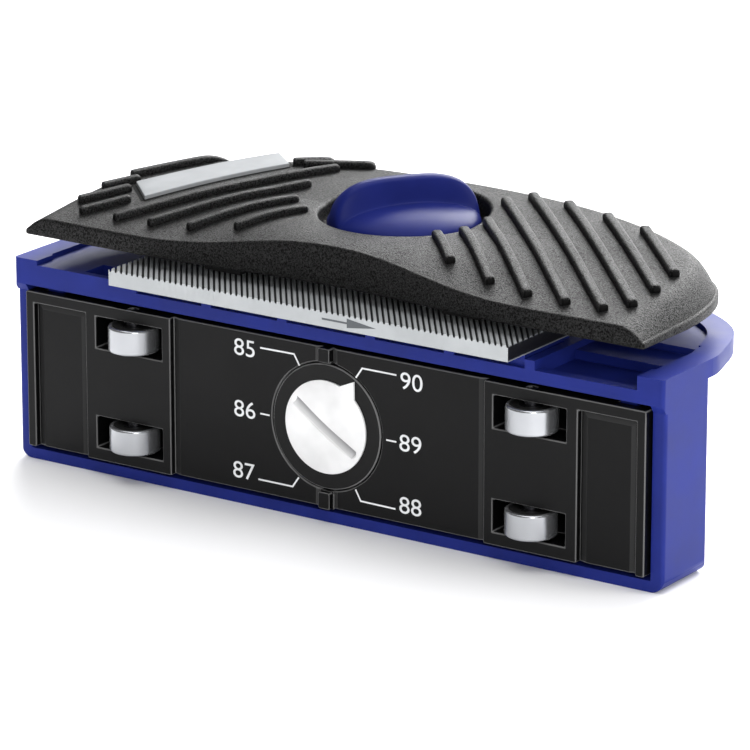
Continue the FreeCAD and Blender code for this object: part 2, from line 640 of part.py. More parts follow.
save("housing", make_housing())
save("cam_stud", rod_y(0, STUD_Z, FRONT + 6.9, BACK - 1.0, STUD_R))
nut = Part.Face(Part.makePolygon(hexagon(5.0, 34.2))).extrude(V(0, 0, 5.0))
save("clamp_nut", nut.cut(rod_z(0, KNOB_Y, 30, 42, SCREW_R + 0.05)))
save("lift_spring", make_lift_spring())
save("angle_plate", make_plate())
save("hinge_pins", both_sides(rod_x(HINGE_Y, HINGE_Z, 64.4, 73.8, HINGE_PIN_R)))
save("axle_pins", both_sides(rod_z(ROLLER_X, ROLLER_Y, PLATE_LOW + 1.2, PLATE_TOP - 0.4, AXLE_R)))
save("detent_ball", Part.makeSphere(1.2, V(0, FRONT + 2.32, DIAL_Z + 9.2)))
save("detent_plug", rod_y(0, DIAL_Z + 9.2, FRONT + 3.52, FRONT + 4.0, 1.3))
save("dial_rotor", make_dial())
save("dial_cap", make_cap())
save("dial_cam", make_cam())
save("cam_screw", make_cam_screw())
inner_rings = []
spacers = []
for name, (x, z) in PLACES.items():
    ring, inner, spacer, shields, balls, cage = roller_parts(x, z)
    save("roller_" + name, ring)
    save("shields_" + name, shields)
    save("balls_" + name, balls)
    save("cage_" + name, cage)
    inner_rings.append(inner)
    spacers += spacer
save("inner_rings", inner_rings)
save("spacers", spacers)
save("file", make_file())
save("handle", make_handle())
pads = []
for x in (-30, 30):
    pads.append(box(x - 4.5, x + 4.5, FRONT + 4.1, FRONT + 15.5, SEAT_TOP + FILE_THICK, 53.0))
save("clamp_pads", pads)
save("badge", make_badge())
save("washer", tube_z(0, KNOB_Y, DISH_FLOOR, KNOB_LOW - 0.05, 9.0, SCREW_R + 0.2))
save("clamp_knob", make_knob())
save("clamp_screw", make_clamp_screw())
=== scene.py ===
"""Looks of the edge beveler: camera, light, materials and the detailed pieces round the fixed CAD frame.

Lengths are in millimetres unless a comment says metres, and MM turns them into metres.
"""
import json
import math

import bpy
import numpy as np
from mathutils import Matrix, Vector


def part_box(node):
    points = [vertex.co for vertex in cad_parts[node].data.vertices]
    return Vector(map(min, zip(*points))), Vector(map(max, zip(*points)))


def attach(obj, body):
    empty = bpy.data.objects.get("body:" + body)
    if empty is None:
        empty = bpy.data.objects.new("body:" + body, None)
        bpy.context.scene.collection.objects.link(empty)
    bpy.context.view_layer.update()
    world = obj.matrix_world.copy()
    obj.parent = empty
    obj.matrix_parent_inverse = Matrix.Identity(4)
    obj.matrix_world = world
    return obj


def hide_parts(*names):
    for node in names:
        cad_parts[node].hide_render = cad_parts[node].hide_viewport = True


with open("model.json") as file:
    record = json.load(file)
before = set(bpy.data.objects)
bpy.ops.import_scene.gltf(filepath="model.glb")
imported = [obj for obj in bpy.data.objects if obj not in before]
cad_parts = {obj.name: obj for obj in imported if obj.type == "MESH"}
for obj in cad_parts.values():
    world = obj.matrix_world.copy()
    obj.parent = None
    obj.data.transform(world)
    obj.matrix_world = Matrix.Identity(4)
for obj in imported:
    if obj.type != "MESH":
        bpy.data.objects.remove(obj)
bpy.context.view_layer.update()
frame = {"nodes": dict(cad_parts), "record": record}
MM = 0.001


def in_mm(metres):
    """A length of the frame in millimetres, freed of its rounding error."""
    return round(metres / MM, 4)


# Places read from the frame. y runs from the rollers' side to the back.
RIM_PROUD = 1.1
PLATE_PROUD = 0.8
FRONT = in_mm(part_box("housing")[0].y) + RIM_PROUD
PLATE_FACE = FRONT - PLATE_PROUD
DIAL_Z = in_mm(sum(c.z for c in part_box("dial_rotor")) / 2)
FILE_FRONT = in_mm(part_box("file")[0].y)
FILE_LOW = in_mm(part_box("file")[0].z)
FILE_HIGH = in_mm(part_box("file")[1].z)
KNOB_Y = in_mm(sum(c.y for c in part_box("clamp_nut")) / 2)

# Coin slot in the dial's cap, turned with the pointer; the cap's material paints shade into it
POINTER_ANGLE = 33.0
SLOT_HALF_WIDTH = 1.10
SLOT_HALF_LENGTH = 8.9
SLOT_FADE = 0.12

# Palm cover: x along the tool, y measured back from the front of the body. OUTER_FOOT and INNER_FOOT say how
# far each ring of the lower edge lies inside the outline, and how high above PALM_LOW.
PALM_HALF = in_mm(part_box("handle")[1].x)
PALM_FRONT = in_mm(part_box("handle")[0].y) - FRONT
PALM_LOW = in_mm(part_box("handle")[0].z)
CORNER_R = 0.8
LOWER_EDGE = 0.4
OUTER_FOOT = ((0.3, 0.0), (0.06, 0.12), (0.0, LOWER_EDGE))
INNER_FOOT = ((3.0, 0.6), (3.0, 0.3), (2.7, 0.0))
ROOF_INSET = 6.0
SHOULDER = 0.7
SKIN = 3.2
SCALLOP = 3.0
SCALLOP_HALF = 48.0
ROLL = 6.5
CROWN_LOW = 55.7
CROWN_RISE = 6.8
CROWN_BACK = 50.0
SIDE_POINTS = (
    (PALM_HALF, 2), (PALM_HALF, 9), (PALM_HALF - 0.1, 16), (76.6, 22.8), (74.9, 29.8),
    (71.9, 36.2), (67.6, 41.2), (61.5, 45.0), (54.0, 48.4), (45.0, 51.4),
    (34.7, 54.0), (23.0, 55.8), (11.5, 56.7), (0, 57.0),
)

# Dish in the palm cover, and the boss round the clamp screw below it; the profiles are radius and height
DISH = np.array([0.0, KNOB_Y - FRONT])
DISH_FLOOR = in_mm(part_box("washer")[0].z)
DISH_CROWN = 60.8
DISH_SWELL = 18.0
DISH_SWELL_FROM = 18.5
LIP_R = 19.0
LIP_SOFT = 0.9
DISH_PROFILE = (
    (18.0, 58.4), (17.6, 57.4), (17.0, DISH_FLOOR), (10.0, DISH_FLOOR), (3.2, DISH_FLOOR), (3.1, 54.0),
)
BOSS_R = 19.8
BOSS_PROFILE = ((6.2, 54.0), (6.2, 51.5), (6.5, PALM_LOW), (19.5, PALM_LOW), (BOSS_R, 51.5))

# Ribs: x and y of the front end, and y of the back end. A RUN is how far in x a rib goes for each unit of y.
RIB_R = 1.15
RIB_LIFT = 0.35
RIB_SQUARE = 0.62
RIB_NOSE = 0.3
RIB_CLEAR = 1.3
RIGHT_RIBS = (
    (26.1, 6.1, 17.8), (37.5, 3.3, 23.4), (47.4, 1.9, 32.6), (56.6, 1.7, 41.5),
    (65.2, 2.1, 47.6), (69.6, 6.2, 46.6), (70.0, 14.4, 44.0), (69.0, 23.4, 41.3),
)
LEFT_RIBS = (
    (-26.8, 4.4, 17.0), (-38.1, 3.0, 22.8), (-48.1, 2.6, 32.2), (-57.0, 2.4, 44.0),
    (-66.3, 2.8, 11.3), (-70.5, 7.8, 16.8), (-70.6, 16.3, 22.6), (-69.3, 25.0, 43.5),
)
RIGHT_RUN = -1.0
LEFT_RUN = 0.68
SHORT_RIBS = (((-36.7, 43.8), (-23.3, 49.8)), ((-39.9, 44.2), (-33.1, 48.5)))

# Badge corners, and the section of the dark band painted as shade in the gap round it: growth beyond the
# badge, and height above the palm.
# A corner moves BADGE_MITRE times as far as the sides do.
BADGE = np.array(((-64.6, 20.4), (-47.0, 49.0), (-39.4, 42.2), (-57.1, 13.4)))
BADGE_MITRE = 1.3
SHADE_BAND_SECTION = ((-0.2, -0.3), (-0.2, 0.05), (0.75, 0.05), (0.8, -0.3))

# Wing knob. Off the blade's middle line, its wall starts to fall at WING_FLAT and falls over WING_FALL.
KNOB_R = 16.3
KNOB_RIM = 58.9
KNOB_BASE = ((0.01, 57.72), (15.6, 57.72), (16.1, 57.9), (KNOB_R, 58.3), (KNOB_R, 58.7))
SCOOP_RISE = 4.9
WING_TOP = 69.0
WING_ANGLE = 54.0
WING_FLAT = 1.6
WING_FALL = 1.9

# Points round each ring of a mesh
PALM_POINTS = 1500
RIB_POINTS = 32
KNOB_POINTS = 360

# Printed marks: x and z on the plate's face
MARK_PROUD = 0.03
MARK_SUNK = 0.05
TEXT_SIZE = 5.2
TEXT_STRETCH = 1.12
LEADER_WIDTH = 0.36
NUMBERS = (
    ("90", 21.2, 34.3), ("89", 21.0, 20.9), ("88", 21.0, 7.4),
    ("87", -21.3, 7.5), ("86", -20.9, 21.1), ("85", -20.8, 34.6),
)
LEADERS = (
    ((-16.8, 35.5), (-8.2, 35.6), (-6.8, 33.3)), ((-16.9, 21.1), (-14.5, 21.1)),
    ((-17.5, 6.5), (-8.7, 6.5), (-7.1, 8.8)), ((17.5, 35.4), (9.0, 35.4), (7.4, 33.1)),
    ((15.0, 21.0), (17.5, 21.0)), ((17.3, 6.4), (8.6, 6.5), (7.3, 8.8)),
)
ARROW_TAIL, ARROW_NECK, ARROW_TIP = 3.9, 10.1, 17.3
ARROW_SHAFT_HALF, ARROW_HEAD_HALF = 0.2, 1.0

# Bevels on the CAD nodes whose edges are moulded soft
SOFT_EDGES = (("housing", 0.30), ("dial_rotor", 0.15), ("dial_cap", 0.12), ("badge", 0.2))
PLATE_BEVEL = 0.42
WELD_METRES = 0.000002

# Studio, in metres and watts: name, place, point aimed at, width, height and power
LIGHTS = (
    ("top", (0.1, 0.1, 1.3), (0, 0, 0.0), 1.6, 1.6, 23),
    ("back_high", (-0.28, 1.0, 0.80), (0, 0, 0.05), 1.1, 0.55, 25),
    ("back_low", (-0.06, 1.25, 0.38), (0, 0, 0.05), 1.1, 0.5, 9),
    ("side", (1.2, 0.55, 0.55), (0, 0, 0.05), 0.7, 0.6, 6.5),
    ("front", (0.85, -1.0, 0.5), (0, 0, 0.03), 0.5, 0.8, 9),
)
WORLD_STRENGTH = 0.22
FLOOR_HALF = 4

# Camera, in metres and degrees; the lens is given by its width of view
CAMERA_X, CAMERA_FROM_FRONT, CAMERA_Z = 0.57234, -0.82444, 0.33790
CAMERA_PITCH = 16.94
CAMERA_TURN = 34.22
SENSOR_WIDTH = 36.0
FOCAL_PER_WIDTH = 5059.0 / 750.0


# ---------- materials ----------
class Shader:
    """A material's node tree and its Principled shader, with the kinds of node that the looks need.

    Where a method takes first and second, each is another node's output or a fixed value.
    """

    def __init__(self, name, color, roughness, metallic=0.0, specular=0.5):
        self.name = name
        self.material = bpy.data.materials.new(name)
        self.material.use_nodes = True
        self.nodes = self.material.node_tree.nodes
        self.links = self.material.node_tree.links
        self.inputs = self.nodes["Principled BSDF"].inputs
        self.inputs["Base Color"].default_value = (*color, 1)
        self.inputs["Roughness"].default_value = roughness
        self.inputs["Metallic"].default_value = metallic
        self.inputs["Specular IOR Level"].default_value = specular

    def feed(self, socket, value):
        """Gives a socket another node's output or a fixed value."""
        if isinstance(value, bpy.types.NodeSocket):
            self.links.new(value, socket)
        else:
            socket.default_value = value

    def drive(self, name, output):
        """Links an output to one of the shader's own inputs."""
        self.links.new(output, self.inputs[name])

    def base_color(self):
        """The output that the base colour comes from so far."""
        return self.inputs["Base Color"].links[0].from_socket

    def position(self, stretch=(1, 1, 1)):
        mapping = self.nodes.new("ShaderNodeMapping")
        mapping.inputs["Scale"].default_value = stretch
        self.links.new(self.nodes.new("ShaderNodeTexCoord").outputs["Object"], mapping.inputs["Vector"])
        return mapping.outputs["Vector"]

    def normal(self):
        return self.nodes.new("ShaderNodeTexCoord").outputs["Normal"]

    def split(self, vector):
        node = self.nodes.new("ShaderNodeSeparateXYZ")
        self.links.new(vector, node.inputs["Vector"])
        return node.outputs["X"], node.outputs["Y"], node.outputs["Z"]

    def noise(self, scale, detail=3.0, rough=0.5, stretch=(1, 1, 1)):
        node = self.nodes.new("ShaderNodeTexNoise")
        node.inputs["Scale"].default_value = scale
        node.inputs["Detail"].default_value = detail
        node.inputs["Roughness"].default_value = rough
        self.links.new(self.position(stretch), node.inputs["Vector"])
        return node.outputs["Fac"]

    def spread(self, value, low, high, in_low=0.3, in_high=0.7):
        """Takes in_low to in_high to low to high, and holds the ends."""
        node = self.nodes.new("ShaderNodeMapRange")
        node.inputs["From Min"].default_value = in_low
        node.inputs["From Max"].default_value = in_high
        node.inputs["To Min"].default_value = low
        node.inputs["To Max"].default_value = high
        self.links.new(value, node.inputs["Value"])
        return node.outputs["Result"]

    def math(self, operation, first, second=0.0):
        node = self.nodes.new("ShaderNodeMath")
        node.operation = operation
        self.feed(node.inputs[0], first)
        self.feed(node.inputs[1], second)
        return node.outputs["Value"]

    def vector_math(self, operation, first, second=(0, 0, 0), result="Vector"):
        node = self.nodes.new("ShaderNodeVectorMath")
        node.operation = operation
        self.feed(node.inputs[0], first)
        self.feed(node.inputs[1], second)
        return node.outputs[result]

    def mix(self, factor, first, second):
        """A colour from first, where factor is 0, to second, where it is 1."""
        node = self.nodes.new("ShaderNodeMix")
        node.data_type = "RGBA"
        for name, value in (("A", first), ("B", second)):
            self.feed(node.inputs[name], (*value, 1) if isinstance(value, tuple) else value)
        self.links.new(factor, node.inputs["Factor"])
        return node.outputs["Result"]

    def bump(self, height, strength, distance):
        """Relief from height; distance is in metres."""
        node = self.nodes.new("ShaderNodeBump")
        node.inputs["Strength"].default_value = strength
        node.inputs["Distance"].default_value = distance
        self.links.new(height, node.inputs["Height"])
        self.drive("Normal", node.outputs["Normal"])


def edge_mask(shader):
    """0 where the surface faces along one of the object's axes, rising to 1 on the rounded edges."""
    x, y, z = shader.split(shader.vector_math("ABSOLUTE", shader.normal()))
    largest = shader.math("MAXIMUM", shader.math("MAXIMUM", x, y), z)
    return shader.spread(largest, 1.0, 0.0, 0.80, 0.985)


def turned_edge_mask(shader):
    """1 on the rounded rims of a part turned about the object's Y axis, 0 on its faces and sides."""
    facing = shader.math("ABSOLUTE", shader.split(shader.normal())[1])
    off_face = shader.spread(facing, 1.0, 0.0, 0.86, 0.97)
    off_side = shader.spread(facing, 0.0, 1.0, 0.10, 0.35)
    return shader.math("MULTIPLY", off_face, off_side)


def paint_edge_highlights(shader, color, mask=edge_mask):
    """Paints highlights on the rounded edges: lightens their colour towards color where the mask rises."""
    shader.drive("Base Color", shader.mix(mask(shader), shader.base_color(), color))
    return shader


def plastic(name, color, roughness, grain_scale, grain_strength, specular=0.5):
    """Moulded plastic: a fine grain, faint handling marks and a slowly varying sheen."""
    shader = Shader(name, color, roughness, specular=specular)
    broad = shader.noise(90.0, 3.0, 0.5)
    dark = tuple(c * 0.86 for c in color)
    light = tuple(c * 1.12 for c in color)
    shader.drive("Base Color", shader.mix(shader.spread(broad, 0.0, 1.0), dark, light))
    shader.drive("Roughness", shader.spread(broad, roughness - 0.05, roughness + 0.06))
    shader.bump(shader.noise(grain_scale, 4.0, 0.6), grain_strength, 0.00003)
    return shader


def steel(name, color, roughness, stretch=(1, 1, 1), grain=900.0, strength=0.15, swing=0.06, metallic=1.0):
    """Metal with a lay: stretch scales the noise along each axis, small along the lay."""
    shader = Shader(name, color, roughness, metallic)
    lay = shader.noise(grain, 4.0, 0.65, stretch)
    wide = shader.noise(160.0, 2.0, 0.5)
    dark = tuple(c * 0.90 for c in color)
    shader.drive("Base Color", shader.mix(shader.spread(wide, 0.0, 1.0), dark, color))
    shader.drive("Roughness", shader.spread(lay, roughness - swing, roughness + swing))
    if strength > 0:
        shader.bump(lay, strength, 0.00001)
    return shader


def file_steel(name):
    """Bright ground flats, with painted shade making the gullets black behind the front edge."""
    shader = steel(name, (0.46, 0.48, 0.49), 0.38, (1, 30, 30), 700.0, metallic=0.35)
    half = (FILE_HIGH - FILE_LOW) / 2
    _, y, z = shader.split(shader.position())
    from_middle = shader.math("ABSOLUTE", shader.math("SUBTRACT", z, (FILE_LOW + half) * MM))
    flat = shader.spread(from_middle, 0.0, 1.0, (half - 0.35) * MM, (half - 0.05) * MM)
    front_face = shader.spread(y, 1.0, 0.0, (FILE_FRONT + 0.02) * MM, (FILE_FRONT + 0.12) * MM)
    clear_of_gullet_shade = shader.math("MAXIMUM", flat, front_face)
    # Painted shade: near black in the gullets, the file's own colour on the flats and the front face
    shader.drive("Base Color", shader.mix(clear_of_gullet_shade, (0.012, 0.012, 0.013), shader.base_color()))
    return shader


def grained_plastic(name):
    """Spark-eroded black plastic: fine pits that scatter the sheen into specks."""
    shader = Shader(name, (0.004, 0.004, 0.004), 0.5)
    pits = shader.noise(3000.0, 1.5, 0.55)
    broad = shader.noise(70.0, 3.0, 0.5)
    dark, light = (0.001, 0.001, 0.001), (0.008, 0.008, 0.008)
    shader.drive("Base Color", shader.mix(shader.spread(pits, 0.0, 1.0), dark, light))
    shader.drive("Specular IOR Level", shader.spread(pits, 0.04, 0.30, 0.35, 0.65))
    shader.drive("Roughness", shader.spread(broad, 0.40, 0.48))
    shader.bump(shader.noise(4600.0, 2.0, 0.6), 0.9, 0.00020)
    return shader


def ground_steel(name):
    """Ground rollers: fine rings round the axis stretch the reflections along it."""
    shader = steel(name, (0.46, 0.47, 0.49), 0.20, (1, 1, 12), strength=0.0, swing=0.02, metallic=0.85)
    shader.inputs["Anisotropic"].default_value = 0.6
    return shader


def cap_white(name):
    """White plastic with painted shade in the coin slot, darkest along its upper wall."""
    shader = plastic(name, (0.91, 0.91, 0.91), 0.40, 2400.0, 0.06)
    angle = math.radians(POINTER_ANGLE)
    place = shader.nodes.new("ShaderNodeTexCoord").outputs["Object"]
    from_dial = shader.vector_math("SUBTRACT", place, (0, 0, DIAL_Z * MM))
    across_slot = (math.sin(angle), 0, math.cos(angle))
    along_slot = (math.cos(angle), 0, -math.sin(angle))
    across = shader.vector_math("DOT_PRODUCT", from_dial, across_slot, "Value")
    along = shader.vector_math("DOT_PRODUCT", from_dial, along_slot, "Value")
    # Painted shade in the slot: grey, deepening across it to the upper wall, faded out at its sides and ends
    slot_shade = shader.spread(across, 0.28, 1.0, -1.1 * MM, 0.5 * MM)
    for value, half in ((across, SLOT_HALF_WIDTH), (along, SLOT_HALF_LENGTH)):
        away = shader.math("ABSOLUTE", value)
        inside = shader.spread(away, 1.0, 0.0, (half - SLOT_FADE) * MM, half * MM)
        slot_shade = shader.math("MULTIPLY", slot_shade, inside)
    shader.drive("Base Color", shader.mix(slot_shade, shader.base_color(), (0.27, 0.27, 0.28)))
    return shader


def badge_foil(name):
    """Satin silver foil with a fine brushed lay, mostly scattering rather than mirror-like."""
    shader = steel(name, (0.29, 0.30, 0.31), 0.55, (1, 30, 1), 700.0, 0.10, metallic=0.04)
    shader.inputs["Specular IOR Level"].default_value = 0.04
    return shader


def make_materials():
    plate = plastic("black_plate", (0.0025, 0.0025, 0.0027), 0.34, 2600.0, 0.45, specular=0.16)
    ring = plastic("dial_black", (0.003, 0.003, 0.003), 0.36, 2200.0, 0.30, specular=0.2)
    shaders = (
        plastic("blue_plastic", (0.013, 0.023, 0.190), 0.40, 2600.0, 0.20, specular=0.12),
        # knob_blue is the housing's blue darkened to about half: painted shade on the knob
        plastic("knob_blue", (0.007, 0.012, 0.105), 0.40, 2600.0, 0.20, specular=0.07),
        # Painted highlights on the plate's rounded edges and on the rims of the dial's ring
        paint_edge_highlights(plate, (0.13, 0.13, 0.13)),
        paint_edge_highlights(ring, (0.16, 0.16, 0.16), turned_edge_mask),
        grained_plastic("black_palm"),
        cap_white("white_plastic"),
        ground_steel("bright_steel"),
        file_steel("file_steel"),
        badge_foil("badge_silver"),
        steel("zinc_steel", (0.55, 0.56, 0.58), 0.32),
        steel("dark_steel", (0.05, 0.05, 0.055), 0.40),
        steel("spring_steel", (0.42, 0.43, 0.45), 0.30),
        plastic("shield_black", (0.010, 0.010, 0.010), 0.40, 2500.0, 0.2),
        plastic("pad_rubber", (0.012, 0.012, 0.012), 0.7, 1500.0, 0.5),
        plastic("cage_nylon", (0.62, 0.56, 0.38), 0.5, 2000.0, 0.2),
        plastic("mark_white", (0.80, 0.81, 0.82), 0.5, 2500.0, 0.1),
        plastic("mark_grey", (0.10, 0.11, 0.12), 0.6, 2500.0, 0.1),
        # rib_end: near black, for the painted shade on the rib ends and round the badge
        plastic("rib_end", (0.002, 0.002, 0.002), 0.7, 1500.0, 0.5, specular=0.1),
    )
    return {shader.name: shader.material for shader in shaders}


# ---------- mesh helpers ----------
def mesh_object(name, verts, faces, material, smooth=True):
    mesh = bpy.data.meshes.new(name)
    mesh.from_pydata([tuple(v) for v in verts], [], faces)
    mesh.validate()
    obj = bpy.data.objects.new(name, mesh)
    bpy.context.scene.collection.objects.link(obj)
    mesh.materials.append(material)
    if smooth:
        mesh.polygons.foreach_set("use_smooth", [True] * len(mesh.polygons))
    return obj


def loft(rings, wrap=False):
    """Vertices and faces joining equal rings of points; wrap closes the last ring on the first."""
    count = len(rings[0])
    faces = []
    for i in range(len(rings) if wrap else len(rings) - 1):
        a = i * count
        b = (i + 1) % len(rings) * count
        for j in range(count):
            k = (j + 1) % count
            faces.append((a + j, a + k, b + k, b + j))
    return np.concatenate(rings), faces


def capped_loft(rings):
    """A loft closed by a flat face on its first and last ring."""
    verts, faces = loft(rings)
    count = len(rings[0])
    faces.append(tuple(range(count))[::-1])
    faces.append(tuple(range(len(verts) - count, len(verts))))
    return verts, faces


def gather(meshes):
    """One mesh from several pairs of vertices and faces."""
    verts, faces, offset = [], [], 0
    for v, f in meshes:
        verts.append(v)
        faces += [tuple(i + offset for i in face) for face in f]
        offset += len(v)
    return np.concatenate(verts), faces


def full_turn(count):
    return np.radians(np.linspace(0, 360, count, endpoint=False))


# ---------- CAD nodes ----------
def paint_nodes(materials):
    slots = {part["node"]: part["material_slot"] for part in frame["record"]["subparts"]}
    for name, obj in frame["nodes"].items():
        obj.data.materials.clear()
        obj.data.materials.append(materials[slots[name]])


def bevel_node(node, width, clamp=True):
    """Softens the edges of a CAD node with modifiers only."""
    obj = frame["nodes"][node]
    weld = obj.modifiers.new("weld", "WELD")
    weld.merge_threshold = WELD_METRES
    bevel = obj.modifiers.new("bevel", "BEVEL")
    bevel.width = width * MM
    bevel.segments = 3
    bevel.limit_method = "ANGLE"
    bevel.angle_limit = math.radians(30)
    bevel.harden_normals = True
    bevel.use_clamp_overlap = clamp


# ---------- palm cover ----------
def catmull(points, per_span):
    """A smooth curve through the points."""
    p = np.array(points, float)
    p = np.vstack([2 * p[0] - p[1], p, 2 * p[-1] - p[-2]])
    out = []
    for i in range(1, len(p) - 2):
        for t in np.linspace(0, 1, per_span, endpoint=False):
            a = 2 * p[i]
            b = p[i + 1] - p[i - 1]
            c = 2 * p[i - 1] - 5 * p[i] + 4 * p[i + 1] - p[i + 2]
            d = -p[i - 1] + 3 * p[i] - 3 * p[i + 1] + p[i + 2]
            out.append(0.5 * (a + b * t + c * t * t + d * t ** 3))
    out.append(p[-2])
    return np.array(out)


# The right-hand edge, from the front corner round to the middle of the back, and the line that the
# top rolls down to, which runs on past the front so that the front edge doesn't count
PAST_FRONT = 6
SIDE = catmull(SIDE_POINTS, 20)
ROLL_LINE = np.vstack([[(PALM_HALF, PALM_FRONT - PAST_FRONT)], SIDE])


def edge_distance(x, y):
    """Distance from the ends and the back edge, not counting the front."""
    points = np.stack([np.abs(np.atleast_1d(x)), np.atleast_1d(y)], 1)
    best = np.full(len(points), 1e9)
    for a, b in zip(ROLL_LINE[:-1], ROLL_LINE[1:]):
        run = b - a
        t = np.clip(((points - a) @ run) / (run @ run), 0, 1)
        gap = np.linalg.norm(points - (a + t[:, None] * run), axis=1)
        best = np.minimum(best, gap)
    return best


def palm_height(x, y):
    """The palm surface before its edges roll down: a low crown that swells up to the dish."""
    rise = 1.0 - ((CROWN_BACK - y) / CROWN_BACK) ** 2
    ends = 1.0 - 0.45 * (np.abs(x) / 75.0) ** 3
    base = CROWN_LOW + CROWN_RISE * rise * ends
    away = np.maximum(0.0, np.hypot(x - DISH[0], y - DISH[1]) - DISH_SWELL_FROM)
    return base + np.maximum(0.0, DISH_CROWN - base) * np.exp(-((away / DISH_SWELL) ** 2))


def palm_top(x, y):
    """The palm surface, rolled down to the lower edge at the ends and along the back."""
    low = PALM_LOW + LOWER_EDGE
    share = np.clip(edge_distance(x, y) / ROLL, 0, 1)
    return low + (palm_height(x, y) - low) * np.sin(share * math.pi / 2) ** 0.75


def on_palm(points, lift=0.0):
    """A ring of points on the palm surface, raised by lift."""
    return ring_at(points, palm_top(points[:, 0], points[:, 1]) + lift)


def ring_at(points, z):
    """A ring in metres from points on the palm cover and their heights."""
    z = np.broadcast_to(z, (len(points),))
    return np.stack([points[:, 0], points[:, 1] + FRONT, z], 1) * MM


def palm_outline(count):
    """Evenly spaced points round the cover, with its scalloped front."""
    corner = []
    for a in np.linspace(math.pi / 2, 0, 10):
        corner.append((PALM_HALF - CORNER_R * (1 - math.cos(a)), PALM_FRONT + CORNER_R * (1 - math.sin(a))))
    dip = []
    for x in np.linspace(0, SCALLOP_HALF, 60):
        dip.append((x, PALM_FRONT + SCALLOP * (0.5 + 0.5 * math.cos(math.pi * x / SCALLOP_HALF))))
    half_line = np.vstack([dip, corner, SIDE])
    mirrored = (half_line * (-1, 1))[::-1]
    loop = np.vstack([half_line, mirrored[1:-1]])
    closed = np.vstack([loop, loop[:1]])
    along = np.concatenate([[0], np.cumsum(np.linalg.norm(np.diff(closed, axis=0), axis=1))])
    want = np.linspace(0, along[-1], count, endpoint=False)
    return np.stack([np.interp(want, along, closed[:, 0]), np.interp(want, along, closed[:, 1])], 1)


def palm_rings():
    """Rings up the side wall, over the top, down the dish, and back along the underside."""
    edge = palm_outline(PALM_POINTS)
    ahead = np.roll(edge, -3, 0) - np.roll(edge, 3, 0)
    inward = np.stack([-ahead[:, 1], ahead[:, 0]], 1)
    inward /= np.linalg.norm(inward, axis=1)[:, None]
    spoke = edge - DISH
    spoke /= np.linalg.norm(spoke, axis=1)[:, None]
    low = PALM_LOW + LOWER_EDGE

    rings = [ring_at(edge + inward * inset, PALM_LOW + rise) for inset, rise in OUTER_FOOT]
    top = edge + inward * SHOULDER
    crown = palm_top(top[:, 0], top[:, 1])
    for share in (0.3, 0.6, 0.9):
        rings.append(ring_at(edge, low + np.maximum(0.0, crown - SHOULDER - low) * share))
    wall_top = np.maximum(low, crown - SHOULDER)
    for a in np.radians(np.linspace(0, 90, 7)):
        points = edge + inward * (SHOULDER * (1 - math.cos(a)))
        rings.append(ring_at(points, wall_top + (crown - wall_top) * math.sin(a)))

    lip = DISH + spoke * LIP_R
    for t in np.linspace(0, 1, 100)[1:]:
        rings.append(on_palm(top + (lip - top) * t ** 1.5))
    lip_z = palm_height(lip[:, 0], lip[:, 1])
    for a in np.radians(np.linspace(15, 90, 6)):
        points = DISH + spoke * (LIP_R - LIP_SOFT * math.sin(a))
        rings.append(ring_at(points, lip_z - LIP_SOFT * (1 - math.cos(a))))
    for radius, z in DISH_PROFILE + BOSS_PROFILE:
        rings.append(ring_at(DISH + spoke * radius, z))

    roof = DISH + spoke * BOSS_R
    deep = edge + inward * ROOF_INSET
    for s in np.linspace(0.0, 1, 13):
        rings.append(on_palm(roof + (deep - roof) * s, -SKIN))
    rings += [ring_at(edge + inward * inset, PALM_LOW + rise) for inset, rise in INNER_FOOT]
    return rings


def rib_runs():
    """Start and end of each rib, the end held back from the dish."""
    runs = [((x, y), (x + RIGHT_RUN * (end - y), end)) for x, y, end in RIGHT_RIBS]
    runs += [((x, y), (x + LEFT_RUN * (end - y), end)) for x, y, end in LEFT_RIBS]
    runs += list(SHORT_RIBS)
    out = []
    for start, end in runs:
        start, end = np.array(start, float), np.array(end, float)
        while np.linalg.norm(end - DISH) < LIP_R + RIB_CLEAR:
            end = end - 0.1 * (end - start) / np.linalg.norm(end - start)
        out.append((start, end))
    return out


def squared(values):
    """Swells a sine or cosine so that a circle becomes a square with round corners."""
    return np.sign(values) * np.abs(values) ** RIB_SQUARE


def rib_mesh(start, end):
    """A bead on the palm surface, blunt in front and rounded behind, and a dark disc on its front end that
    paints shade there.
    """
    length = np.linalg.norm(end - start)
    run = (end - start) / length
    side = np.array([run[1], -run[0]])
    turn = full_turn(RIB_POINTS)
    wide, high = squared(np.cos(turn)), squared(np.sin(turn))
    steps = [(0.0, RIB_R - RIB_NOSE), (0.09, RIB_R - 0.11), (RIB_NOSE, RIB_R)]
    steps += [(s, RIB_R) for s in np.linspace(RIB_NOSE, length, 44)[1:]]
    for a in np.radians(np.linspace(12, 88, 8)):
        steps.append((length + RIB_R * math.sin(a), RIB_R * math.cos(a)))
    rings = []
    for s, radius in steps:
        centre = start + run * s
        middle = float(palm_top(centre[0], centre[1])[0]) + RIB_LIFT
        rings.append(ring_at(centre + side * (radius * wide)[:, None], middle + radius * high))
    # A near-black disc just ahead of the front end: painted shade on the end face
    small = rings[0] * 0.28 + rings[0].mean(0) * 0.72
    ahead = np.array([*run, 0]) * MM
    front = [rings[0] - ahead * 0.015, small - ahead * 0.03]
    return capped_loft(rings), capped_loft(front)


def badge_ring(grow, lift, per_side=24):
    """Points on the palm surface round the badge, grow outside it."""
    middle = np.mean(BADGE, 0)
    corners = []
    for p in BADGE:
        corners.append(middle + (p - middle) * (1 + grow * BADGE_MITRE / np.linalg.norm(p - middle)))
    points = []
    for a, b in zip(corners, corners[1:] + corners[:1]):
        points += [a + (b - a) * t for t in np.linspace(0, 1, per_side, endpoint=False)]
    return on_palm(np.array(points), lift)


